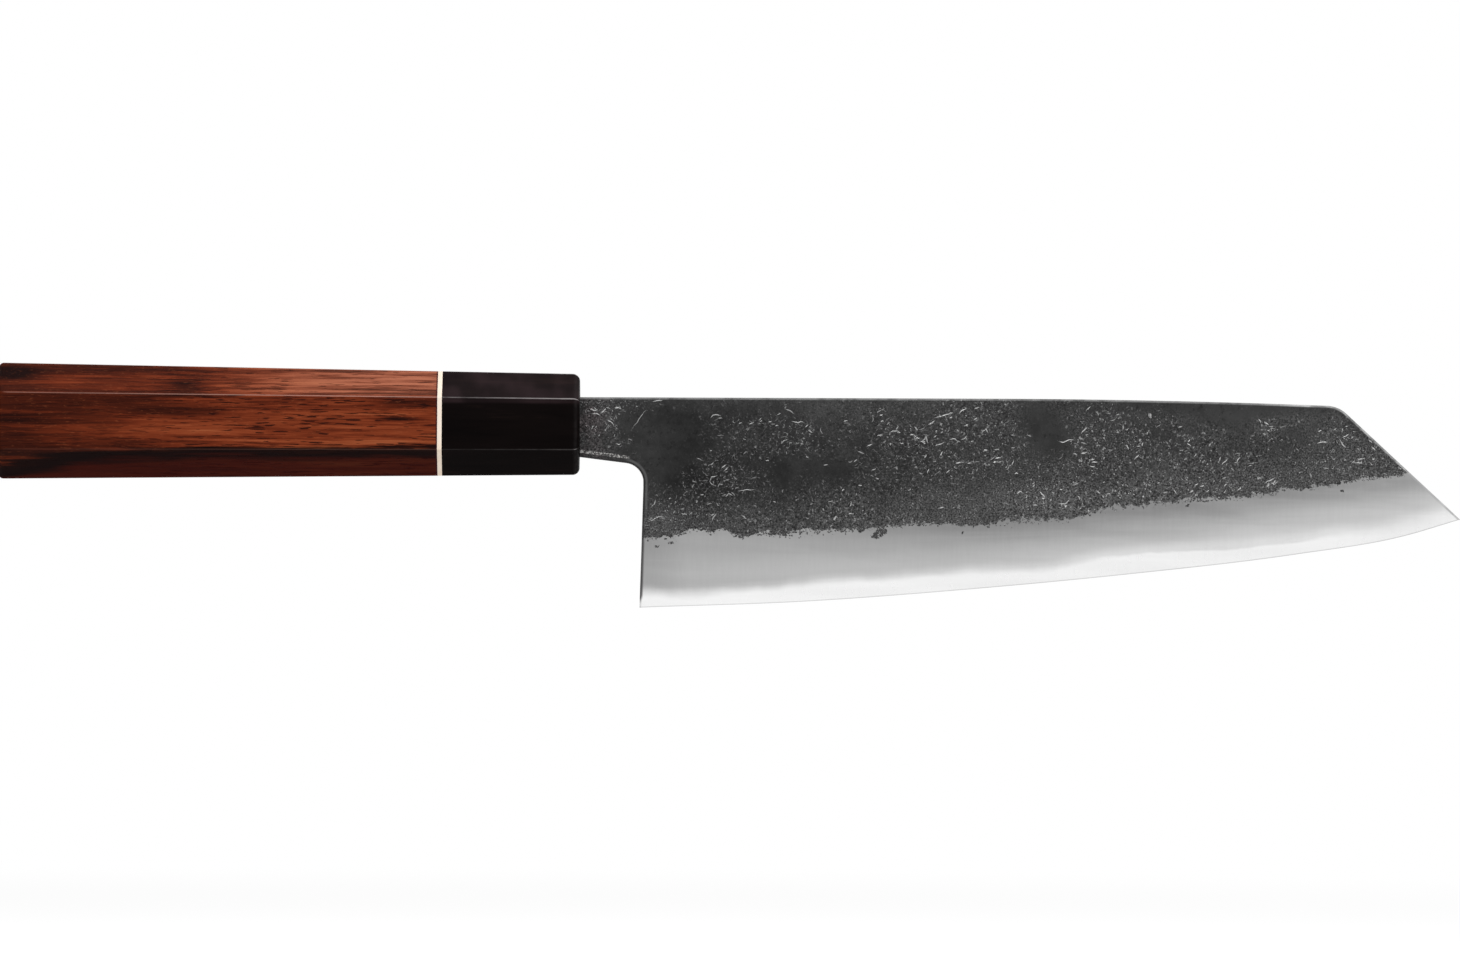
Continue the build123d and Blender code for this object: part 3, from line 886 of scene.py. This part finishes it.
# Flakes of the right face as the photograph shows them: each crest as x, z, x, z, ...
FLAKES_RIGHT = (
    (28.6, 1.4, 29.4, 2.4, 30.5, 2.3, 31.1, 1.9), (34.9, 0.4, 35.6, 0.7), (37.1, 0.2, 38.3, 0.8),
    (39.4, 0.9, 40.2, 1.1), (41.4, 0.8, 42.2, 1), (43.3, 2.3, 44.2, 2.8),
    (44.9, 3.8, 46, 3.4, 47.3, 2.5), (46.4, 1, 47.7, 0.7, 48.8, 1, 49.5, 0.6),
    (11.5, -1, 12.9, 1.1, 14.2, 2.9, 15.1, 3.3), (15.8, 5.1, 18.4, 5.5),
    (14.5, -20.2, 16, -21.1, 17.1, -20.1, 19.3, -20.1), (15.6, -18.3, 16.7, -17.2, 16.7, -16.1),
    (35.7, -19.7, 36.8, -20.5), (29, -21.2, 29.5, -20.1, 30.4, -19),
    (34.6, -14.5, 36.8, -14, 39, -14.1), (28.7, -12.4, 29.1, -11.3, 30.2, -11.1),
    (31.1, -9.4, 32.4, -8.5), (31.8, -10, 32.7, -9.1), (26.6, -15.3, 27.4, -15.2),
    (32, -15.7, 32.9, -15, 33.8, -15.4), (50.1, -0.9, 51.2, -1.4), (76.7, 0.5, 77.6, 0.9),
    (77.9, 2, 80.2, 2.6, 81.7, 3), (83.2, 2.9, 84.1, 3.8, 85.3, 4.2), (86.5, 4, 87.8, 4.4),
    (77.9, -4.2, 79.1, -3.8, 80.3, -3.2), (81, -2.8, 82.2, -2.6, 83.8, -3.4),
    (88.3, -1, 89.2, -0.4, 89.7, -1.4), (104.9, -2.9, 106.1, -3.3, 107.7, -2.5, 108.9, -2.7),
    (110, -1.3, 111.4, 0.2), (112.4, -7.5, 113.8, -7.5), (96, -14.7, 96.8, -13.9, 97.4, -14.5),
    (100.9, -13.9, 101.9, -14.9, 102.3, -15.5), (105, -16.6, 106.6, -16.8, 107.8, -15.4),
    (88.7, -5.1, 89.5, -5.1), (82.5, -8, 83.8, -7.8), (85.1, -8, 86.2, -7.8),
    (150.1, 1.6, 151.3, 0.9), (133.3, -3.2, 134.3, -3.9), (161.8, -3.1, 163, -2.7, 164.5, -2.8),
    (166.7, -2, 167.4, -3.2, 168.4, -4.1), (150.2, -12.1, 151.4, -11.3, 152.9, -10.6),
    (150.6, -12.6, 151.6, -12.4), (152.3, -12.1, 152.8, -11.2), (130.4, -13.4, 131.2, -14.4),
    (140.9, -8, 142.3, -6.5), (173.8, -3.8, 174.8, -4.6), (2.3, 3.3, 3.8, 3.1),
    (4.5, 2.3, 5.8, 3.6), (77.6, -2.5, 78.4, -1.8), (76.5, 0.4, 78, 1.5), (86.4, 1.5, 87.3, 2.1),
    (84.4, 0.2, 85.4, 0.7), (81, 3, 81.9, 3.1), (81.1, 1.9, 81.8, 2.2), (79.2, 0.4, 79.6, 0.8),
    (79.3, -1.4, 79.7, -0.9), (78.1, -1.1, 78.5, -0.8),
)
FLAKE_STEPS = 7


def crest_lines(lines):
    """Crests with an even number of points: each line's points, taken at even shares of it."""
    out = []
    for path in (np.reshape(line, (-1, 2)) for line in lines):
        run = run_along(path)
        out.append(at_run(path, run, np.linspace(0, run[-1], FLAKE_STEPS)))
    return np.stack(out)


def drawn_crests(seed, side, beds):
    """Short bent crests, scattered about the middles of their beds by the seed: each is an arc
    whose heading turns evenly along it. They are kept where the scale isn't calm, in from the
    rims and over the border."""
    draw = np.random.default_rng(seed)
    mid_x, mid_z, half_x, half_z, count = beds.T
    each = np.repeat(np.arange(len(beds)), (count * 0.75).astype(int))
    x = mid_x[each] + half_x[each] * draw.normal(0, 0.6, len(each))
    z = mid_z[each] + half_z[each] * draw.normal(0, 0.6, len(each))
    calm = scale_places(x, z, side)[1]
    over_border = z - bevel_top_z(np.clip(x, HEEL_X, TIP_X))
    length = draw.uniform(0.45, 1.3, len(each)) + 1.4 * draw.uniform(0, 1, len(each)) ** 4
    heading, bend = draw.normal(0.25, 0.7, len(each)), draw.uniform(-1.9, 1.9, len(each))
    angle = heading[:, None] + bend[:, None] * np.linspace(-0.5, 0.5, FLAKE_STEPS)
    steps = ways(angle) * (length / (FLAKE_STEPS - 1))[:, None, None]
    crests = np.stack([x, z], -1)[:, None] + np.cumsum(steps, axis=1)
    room = rim_gap(crests).min(axis=1)
    past_ferrule = crests[..., 0].min(axis=1) > 0.6
    return crests[past_ferrule & (calm < 0.5) & (room > 0.6) & (over_border > 1.0)]


def flakes(name, side, seed, crests, finish, placed=0):
    """Thin ridges on a face. Across each crest lie five points: two wide feet sunk into the
    flank, two shoulders at about a third of the rise, and the top. Width and rise follow a half
    sine along the crest, so both ends close to a point, and the crest wavers by a normal draw.
    The first ones, the listed crests, get the most painted shine; the rest by the square of an
    even draw."""
    draw = np.random.default_rng(seed)
    # How much painted shine each crest gets
    painted_crest_shine = draw.uniform(0, 1, len(crests)) ** 2
    painted_crest_shine[:placed] = 1 - 0.35 * painted_crest_shine[:placed]
    across = left_of(unit(np.gradient(crests, axis=1)))
    taper = np.sin(np.linspace(0, pi, FLAKE_STEPS))
    crests = crests + across * (draw.normal(0, 0.055, crests.shape[:2]) * taper)[..., None]
    long_way = np.hypot(*np.diff(crests, axis=1).T).sum(axis=0)
    width = draw.uniform(0.030, 0.052, len(crests)) * np.clip(3 / long_way, 0.6, 1)
    half = width[:, None] * taper
    half[:placed] *= 1.25
    rise = draw.uniform(0.025, 0.045, len(crests))[:, None] * taper
    shoulder, foot = across * half[..., None], across * (half + 0.15 * taper)[..., None]
    profile = [crests - foot, crests - shoulder, crests, crests + shoulder, crests + foot]
    profile = np.stack(profile, axis=2)
    sunk = 0.012 * taper - 0.02 + 0 * rise
    lift = np.stack([sunk, 0.35 * rise, rise, 0.35 * rise, sunk], axis=2)
    rings = set_out(profile, forged_half(profile, FORGE_SEED[side]) + lift, side)
    on_crest = np.tile([0, 1, 1, 1, 0], len(crests) * FLAKE_STEPS)
    stored = {"painted_crest_shine": np.repeat(painted_crest_shine, FLAKE_STEPS * 5), "crest": on_crest}
    skin(name, rings, finish, stored, merge=1e-6)


# ---- the handle's pieces

ARC_POINTS, FLAT_POINTS, BUTT_STEPS, FRONT_STEPS = 6, 13, 7, 13


def octagon(x, inset=0.0):
    """Ring round the handle at x, drawn in by an inset: each corner is an arc about the point
    that lies a crease radius inside its two facets, and the facets join the arcs."""
    reach = np.array([BUTT_THICKNESS / 2, 0, BUTT_HEIGHT / 2, 0])
    reach[1::2] = (BUTT_THICKNESS / 2 + BUTT_HEIGHT / 2 - BUTT_FACET_LEG) / 2**0.5
    reach = np.tile(reach, 2) - FACET_TAPER * (x + HANDLE_LENGTH) - inset
    radius = max(CREASE_ROUND - inset * 0.5, 0.1)
    turn = np.arange(8) * pi / 4
    a, b = reach - radius, np.roll(reach, -1) - radius
    out = (b - a * np.cos(pi / 4)) / np.sin(pi / 4)
    centre = a[:, None] * ways(turn) + out[:, None] * left_of(ways(turn))
    angle = turn[:, None] + np.linspace(0, pi / 4, ARC_POINTS)
    arc = centre[:, None] + radius * ways(angle)
    last, following = arc[:, -1], np.roll(arc, -1, axis=0)[:, 0]
    share = np.linspace(0.02, 0.98, FLAT_POINTS)[:, None]
    flat = last[:, None] + share * (following - last)[:, None]
    ring = np.concatenate([arc, flat], axis=1).reshape(-1, 2)
    return np.column_stack([np.full(len(ring), x), ring])


ring_angle = np.arctan2(octagon(0.0)[:, 2], octagon(0.0)[:, 1])


def bores(*circles):
    """Rings on circles, each an x and a radius, with their points at the octagon's angles."""
    one = ways(ring_angle)
    return [np.column_stack([np.full(len(one), x), radius * one]) for x, radius in circles]


def mouth(x, grow=0.0):
    """Ring of the neck's slot: each point is where its direction meets the rectangle, and the
    points nearest the four corners are drawn into them."""
    half_y = NECK_THICKNESS / 2 + MOUTH_GAP + grow
    half_z = (SPINE_RISE + NECK_DROP) / 2 + MOUTH_GAP + grow
    cosine, sine = np.cos(ring_angle), np.sin(ring_angle)
    reach = 1 / np.maximum(np.abs(cosine) / half_y, np.abs(sine) / half_z)
    y, z = reach * cosine, reach * sine
    for side in (-1, 1):
        for up in (-1, 1):
            nearest = np.argmin((y - side * half_y) ** 2 + (z - up * half_z) ** 2)
            y[nearest], z[nearest] = side * half_y, up * half_z
    return np.column_stack([np.full(y.shape, x), y, z + (SPINE_RISE - NECK_DROP) / 2])


def rounded_end(x, radius, way, steps=BUTT_STEPS):
    """Rings round an end's edge: a quarter turn from the facets in to the end face."""
    angle = np.linspace(0, pi / 2, steps)
    return [octagon(x - way * radius * (1 - np.sin(a)), radius * (1 - np.cos(a))) for a in angle]


def along(start, end, step):
    """Rings along the handle, about a step apart, with both ends left out."""
    return [octagon(x) for x in np.linspace(start, end, int(abs(end - start) / step) + 2)[1:-1]]


# How strong the painted highlight is on each of the eight creases, from the one at the left
# side's top round by the spine to the right side, and then back below
CREASE_SHINE = (1.0, 0.7, 0.7, 1.0, 0.14, 0.14, 0.14, 0.14)

# Darker and lighter wood, as (x, z, half width, half height, strength), as the right face shows;
# on the left face it runs the other way about the middle of these x
FIGURE_MIRROR = -158.0
FIGURE_RIGHT = (
    (-125, 10.6, 6, 1.6, -0.3), (-112, 9.2, 6, 2.2, 0.12), (-85.5, 8.2, 5.5, 1.9, -0.26),
    (-74, 9.5, 6, 1.2, -0.1), (-98, 4.8, 15, 1.2, -0.18), (-62, 4.9, 10, 0.8, -0.12),
    (-38, 4.3, 8, 0.9, -0.36), (-39.5, 0.9, 3.8, 0.45, -0.45), (-124, -3, 8, 3, -0.12),
    (-94, -1, 6, 2.5, 0.07), (-105, 2.6, 5, 1, 0.08), (-70, -3.2, 14, 1.2, 0.06),
    (-50, -3.6, 12, 1, 0.05), (-84, 2.2, 9, 0.8, -0.1),
)


def crease_shine(rings):
    """Painted highlight at each point of the handle's outside: along a crease's arc it follows half
    a sine, as strong as the crease's highlight, and it is nothing on the facets and in the bores."""
    arc = np.sin(np.linspace(0, pi, ARC_POINTS)) ** 2
    ring = np.concatenate([np.r_[painted_shine * arc, np.zeros(FLAT_POINTS)] for painted_shine in CREASE_SHINE])
    outside = np.hypot(rings[..., 1], rings[..., 2]).min(axis=1) > BUTT_THICKNESS / 3
    return np.where(outside[:, None], ring, 0.0)


def handle_pieces(wood, ring, horn):
    """Grip, spacer and ferrule: each is one skin that goes along its outside and back through
    its bores."""
    butt, front = -HANDLE_LENGTH, -FERRULE_LENGTH
    grip = bores((butt, 0.0)) + rounded_end(butt, BUTT_ROUND, -1)[::-1]
    grip += along(butt + BUTT_ROUND, JOINT_X - JOINT_ROUND, 1.2)
    grip += rounded_end(JOINT_X, JOINT_ROUND, 1, 3)
    grip += bores((JOINT_X, DOWEL_BORE), (-DOWEL_END, DOWEL_BORE))
    grip += bores((-DOWEL_END, TAIL_BORE), (-TAIL_END, TAIL_BORE), (-TAIL_END, 0.0))
    grip = np.stack(grip)
    x, y, z = np.moveaxis(grip, 2, 0)
    left = soft_hills(FIGURE_MIRROR - x, z, FIGURE_RIGHT)
    figure = np.where(y < 0, soft_hills(x, z, FIGURE_RIGHT), left)
    # Painted highlight along the grip's creases, none round the butt
    painted_shine = crease_shine(grip)
    painted_shine[: BUTT_STEPS + 1] = 0
    stored = {"painted_highlight": painted_shine, "figure": figure}
    skin("rosewood_grip", grip, wood, stored, "handle_body", sharp=40)

    band = rounded_end(JOINT_X, JOINT_ROUND, -1, 3)[::-1] + rounded_end(front, JOINT_ROUND, 1, 3)
    band += [*bores((front, DOWEL_BORE), (JOINT_X, DOWEL_BORE)), band[0]]
    skin("pale_spacer_ring", np.stack(band), ring, {}, "spacer", sharp=40)

    cap = rounded_end(front, JOINT_ROUND, -1, 3)[::-1] + along(front, -FERRULE_ROUND, 2.0)
    turned = slice(len(cap), len(cap) + FRONT_STEPS)
    cap += rounded_end(0.0, FERRULE_ROUND, 1, FRONT_STEPS)
    cap += [mouth(0.0, MOUTH_CHAMFER), mouth(-MOUTH_CHAMFER), mouth(-MOUTH_WALL)]
    cap += [*bores((-MOUTH_WALL, DOWEL_BORE), (front, DOWEL_BORE)), cap[0]]
    cap = np.stack(cap)
    # Painted highlight along the ferrule's creases, and a painted glint round its front edge
    painted_shine = crease_shine(cap)
    glint = np.exp(-(((np.linspace(0, 1, FRONT_STEPS) - 0.35) / 0.18) ** 2))[:, None]
    painted_shine[turned] = np.maximum(painted_shine[turned], glint * (0.02 + 0.6 * (painted_shine[turned] > 0.05)))
    skin("horn_ferrule", cap, horn, {"painted_highlight": painted_shine}, "ferrule", sharp=40)


clad_iron = blade_finish("forge_scale_and_bevel")
cladding("blade_face_right", "cladding_right", -1, clad_iron)
cladding("blade_face_left", "cladding_left", 1, clad_iron)
core("blade_core_edge", "core_steel", blade_finish("core_steel_satin"))
painted_crest_shine = raised_scale()
crests = [drawn_crests(31, -1, FLAKE_BEDS_RIGHT), drawn_crests(35, -1, WHOLE_FACE)]
crests = np.concatenate([crest_lines(FLAKES_RIGHT), *crests])
flakes("raised_flakes_right", -1, 32, crests, painted_crest_shine, placed=len(FLAKES_RIGHT))
crests = np.concatenate([drawn_crests(34, 1, FLAKE_BEDS_LEFT), drawn_crests(36, 1, WHOLE_FACE)])
flakes("raised_flakes_left", 1, 33, crests, painted_crest_shine)
handle_pieces(rosewood(), pale_ring(), black_horn())
pale_wood = ((0.42, 0.28, 0.15), (0.66, 0.50, 0.32), (0.6, 0.75), 0.00003)
resin = ((0.035, 0.022, 0.014), (0.085, 0.055, 0.036), (0.35, 0.55), 0.00004)
dowel_wood = unseen_finish("dowel_wood_plain", (50, 1200, 1200), 1, 4, *pale_wood)
dark_bedding = unseen_finish("dark_bedding_resin", (1000,), 1.6, 3, *resin)
for node, finish in (("joining_dowel", dowel_wood), ("tang_bedding", dark_bedding)):
    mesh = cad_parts[node].data
    mesh.materials.clear()
    mesh.materials.append(finish)

# ---- floor, light and camera

FLOOR_DROP, FLOOR_REACH = 0.13, 9.0
BACKGROUND = ("Camera", "Glossy", "Transmission")


def seen_directly(nodes):
    """1 for rays that show the background: from the camera, off gloss, and through glass."""
    path = nodes.node("ShaderNodeLightPath").outputs
    camera, *others = (Level(nodes, path[f"Is {ray} Ray"]) for ray in BACKGROUND)
    return camera.at_least(others[0]).at_least(others[1])


def studio_world(level):
    """White where it is seen, and a plain level where it lights the knife."""
    world = bpy.data.worlds.new("studio")
    bpy.context.scene.world = world
    world.use_nodes = True
    n = Nodes(world.node_tree)
    fill, white = (
        n.put("ShaderNodeBackground", {"Color": (1, 1, 1), "Strength": strength})
        for strength in (level, 1)
    )
    shown = n.put("ShaderNodeMixShader", {0: seen_directly(n), 1: fill, 2: white})
    n.feed(n.tree.nodes["World Output"].inputs["Surface"], shown)


def studio_floor():
    """Round pale floor. Near the knife it is plain paint that takes the shadow, lifted to white
    where it is seen; further out it fades to plain white."""
    angle = np.linspace(0, 2 * pi, 96, endpoint=False)
    rim = np.column_stack([ways(angle) * FLOOR_REACH, np.full(angle.shape, -FLOOR_DROP)])
    mesh = bpy.data.meshes.new("floor")
    mesh.from_pydata(rim.tolist(), [], [list(range(len(rim)))])
    floor = bpy.data.objects.new("floor", mesh)
    bpy.context.scene.collection.objects.link(floor)
    f = Finish("floor_paint")
    mesh.materials.append(f.material)
    seen = seen_directly(f)
    away = f.put("ShaderNodeVectorMath", {0: f.place}, "Value", operation="LENGTH")
    paint = f.put("ShaderNodeBsdfDiffuse", {"Color": (0.82, 0.82, 0.82)})
    lift = f.put("ShaderNodeEmission", {"Strength": seen * 0.39})
    near = f.put("ShaderNodeAddShader", {0: paint, 1: lift})
    white = f.put("ShaderNodeEmission", {"Strength": seen.ramp(0, 1, 0.6, 1)})
    mixed = f.put("ShaderNodeMixShader", {0: away.ramp(0.45, 0.9), 1: near, 2: white})
    f.feed(f.tree.nodes["Material Output"].inputs["Surface"], mixed)


def softbox(name, place, aim, width, depth, power):
    lamp = bpy.data.lights.new(name, "AREA")
    lamp.shape, lamp.size, lamp.size_y, lamp.energy = "RECTANGLE", width, depth, power
    holder = bpy.data.objects.new(name, lamp)
    bpy.context.scene.collection.objects.link(holder)
    holder.location = place
    holder.rotation_euler = (Vector(aim) - Vector(place)).to_track_quat("-Z", "Y").to_euler()


def product_camera(lens=250.0, sensor=36.0, frame_width=0.3205, roll=radians(0.376)):
    """Long lens, level and square on to the right face, rolled as the knife lies in the photo."""
    holder = bpy.data.objects.new("camera", bpy.data.cameras.new("camera"))
    bpy.context.scene.collection.objects.link(holder)
    holder.data.lens, holder.data.sensor_width = lens, sensor
    holder.data.clip_start, holder.data.clip_end = 0.05, 60.0
    right, up = Vector((np.cos(roll), 0, np.sin(roll))), Vector((-np.sin(roll), 0, np.cos(roll)))
    turn = Matrix((right, up, right.cross(up))).transposed().to_4x4()
    away = frame_width * lens / sensor
    holder.matrix_world = Matrix.Translation((0.0331, -away, -0.0135)) @ turn
    bpy.context.scene.camera = holder


studio_world(0.45)
studio_floor()
middle = (0.03, 0.0, -0.01)
softbox("overhead_softbox", (0.25, -0.10, 1.05), middle, 0.7, 0.7, 4.0)
softbox("front_strip", (-0.05, -0.75, 0.72), middle, 1.3, 0.11, 5.5)
product_camera()

bpy.context.scene.view_settings.view_transform = "Standard"
